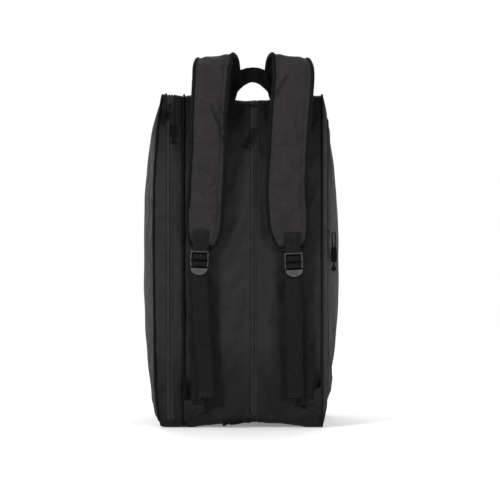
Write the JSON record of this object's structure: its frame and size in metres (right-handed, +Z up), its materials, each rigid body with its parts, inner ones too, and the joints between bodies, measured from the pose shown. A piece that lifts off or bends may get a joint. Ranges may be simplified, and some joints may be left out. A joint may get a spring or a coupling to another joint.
{
  "type": "racket tournament bag",
  "caption": "Deep padded racket bag that stands on its base, with backpack straps, zipped compartments and a folding side flap.",
  "frame": {"origin": "on the surface the bag stands on, under the middle of its bounding box", "axes": "+Z is up; -Y is the carrying side, which has the shoulder straps; +X is to the right when looking at that side"},
  "size_m": [0.33, 0.3365, 0.594],
  "materials": {
    "shell_fabric": "matt black woven polyester",
    "strap_fabric": "matt black woven polyester over foam",
    "lining": "plain dark grey lining",
    "binding": "ribbed binding tape",
    "mesh_pad": "black spacer mesh",
    "webbing": "ribbed polypropylene webbing",
    "zip_tape": "woven zip tape with a nylon coil",
    "puller": "black cord with a moulded grip",
    "slider_metal": "black lacquered zip slider",
    "buckle_plastic": "satin black acetal"
  },
  "bodies": {
    "bag": {"left_zip_inner_half": "zip_tape", "left_inner_gusset": "shell_fabric", "left_base_panel": "shell_fabric", "left_inner_piping": "binding", "left_divider": "lining", "rear_left_panel": "shell_fabric", "rear_right_panel": "shell_fabric", "main_zip_left_half": "zip_tape", "main_zip_right_half": "zip_tape", "top_panel": "shell_fabric", "front_panel": "shell_fabric", "base_panel": "shell_fabric", "base_board": "lining", "lining_pocket": "lining", "right_divider": "lining", "right_piping": "binding", "right_border_panel": "shell_fabric", "right_lower_panel": "shell_fabric", "right_zip_fixed_half": "zip_tape", "left_yoke": "mesh_pad", "right_yoke": "mesh_pad", "left_lower_webbing": "webbing", "right_lower_webbing": "webbing", "left_anchor": "shell_fabric", "right_anchor": "shell_fabric"},
    "left_flap": {"left_side_panel": "shell_fabric", "left_outer_gusset": "shell_fabric", "left_zip_outer_half": "zip_tape", "left_outer_piping": "binding"},
    "right_flap": {"right_flap_panel": "shell_fabric", "right_zip_flap_half": "zip_tape"},
    "main_upper_slider": {"main_upper_slider": "slider_metal"},
    "main_upper_puller": {"main_upper_puller": "puller"},
    "main_lower_slider": {"main_lower_slider": "slider_metal"},
    "main_lower_puller": {"main_lower_puller": "puller"},
    "left_upper_slider": {"left_upper_slider": "slider_metal"},
    "left_upper_puller": {"left_upper_puller": "puller"},
    "left_lower_slider": {"left_lower_slider": "slider_metal"},
    "left_lower_puller": {"left_lower_puller": "puller"},
    "right_slider": {"right_slider": "slider_metal"},
    "right_puller": {"right_puller": "puller"},
    "left_strap": {"left_shoulder_pad": "strap_fabric", "left_webbing_tab": "webbing"},
    "left_buckle": {"left_buckle": "buckle_plastic"},
    "left_tail": {"left_tail": "webbing"},
    "right_strap": {"right_shoulder_pad": "strap_fabric", "right_webbing_tab": "webbing"},
    "right_buckle": {"right_buckle": "buckle_plastic"},
    "right_tail": {"right_tail": "webbing"},
    "grab_loop": {"grab_loop": "webbing"}
  },
  "joints": [
    {"name": "left_flap_hinge", "type": "hinge", "parent": "bag", "child": "left_flap", "pos_m": [-0.13364, 0, 0.0055], "axis": [0, -1, 0], "range_deg": [0, 60]},
    {"name": "right_flap_hinge", "type": "hinge", "parent": "bag", "child": "right_flap", "pos_m": [0.166, 0, 0.3], "axis": [0, 1, 0], "range_deg": [0, 90]},
    {"name": "main_upper_slide", "type": "slide", "parent": "bag", "child": "main_upper_slider", "axis": [0, 0, -1], "range_m": [0, 0.17]},
    {"name": "main_upper_pull", "type": "hinge", "parent": "main_upper_slider", "child": "main_upper_puller", "pos_m": [0.021, -0.1352, 0.478], "axis": [0, 1, 0], "range_deg": [-115, 65]},
    {"name": "main_lower_slide", "type": "slide", "parent": "bag", "child": "main_lower_slider", "axis": [0, 0, 1], "range_m": [0, 0.19]},
    {"name": "main_lower_pull", "type": "hinge", "parent": "main_lower_slider", "child": "main_lower_puller", "pos_m": [0.021, -0.1352, 0.0135], "axis": [0, 1, 0], "range_deg": [0, 180]},
    {"name": "left_upper_slide", "type": "slide", "parent": "bag", "child": "left_upper_slider", "axis": [0, 0, 1], "range_m": [0, 0.002]},
    {"name": "left_upper_pull", "type": "hinge", "parent": "left_upper_slider", "child": "left_upper_puller", "pos_m": [-0.1135, -0.1352, 0.5165], "axis": [0, 1, 0], "range_deg": [0, 60]},
    {"name": "left_lower_slide", "type": "slide", "parent": "bag", "child": "left_lower_slider", "axis": [0, 0, -1], "range_m": [0, 0.44]},
    {"name": "left_lower_pull", "type": "hinge", "parent": "left_lower_slider", "child": "left_lower_puller", "pos_m": [-0.1135, -0.1352, 0.5035], "axis": [0, -1, 0], "range_deg": [-4, 38]},
    {"name": "right_slide", "type": "slide", "parent": "bag", "child": "right_slider", "axis": [0, 0, 1], "range_m": [0, 0.165]},
    {"name": "right_pull", "type": "hinge", "parent": "right_slider", "child": "right_puller", "pos_m": [0.14947, -0.10969, 0.312], "axis": [-0.3223, -0.9466, 0], "range_deg": [0, 100]},
    {"name": "left_strap_hinge", "type": "hinge", "parent": "bag", "child": "left_strap", "pos_m": [-0.0445, -0.1485, 0.594], "axis": [-1, 0, 0], "range_deg": [0, 25]},
    {"name": "left_buckle_hinge", "type": "hinge", "parent": "left_strap", "child": "left_buckle", "pos_m": [-0.0655, -0.1525, 0.2828], "axis": [-1, 0, 0], "range_deg": [0, 35]},
    {"name": "left_tail_hinge", "type": "hinge", "parent": "left_buckle", "child": "left_tail", "pos_m": [-0.0655, -0.1525, 0.2408], "axis": [-1, 0, 0], "range_deg": [0, 60]},
    {"name": "right_strap_hinge", "type": "hinge", "parent": "bag", "child": "right_strap", "pos_m": [0.0815, -0.1485, 0.594], "axis": [-1, 0, 0], "range_deg": [0, 25]},
    {"name": "right_buckle_hinge", "type": "hinge", "parent": "right_strap", "child": "right_buckle", "pos_m": [0.083, -0.1525, 0.2798], "axis": [-1, 0, 0], "range_deg": [0, 35]},
    {"name": "right_tail_hinge", "type": "hinge", "parent": "right_buckle", "child": "right_tail", "pos_m": [0.083, -0.1525, 0.2378], "axis": [-1, 0, 0], "range_deg": [0, 60]},
    {"name": "grab_loop_hinge", "type": "hinge", "parent": "bag", "child": "grab_loop", "pos_m": [0.0185, -0.126, 0.563], "axis": [1, 0, 0], "range_deg": [-30, 30]}
  ]
}
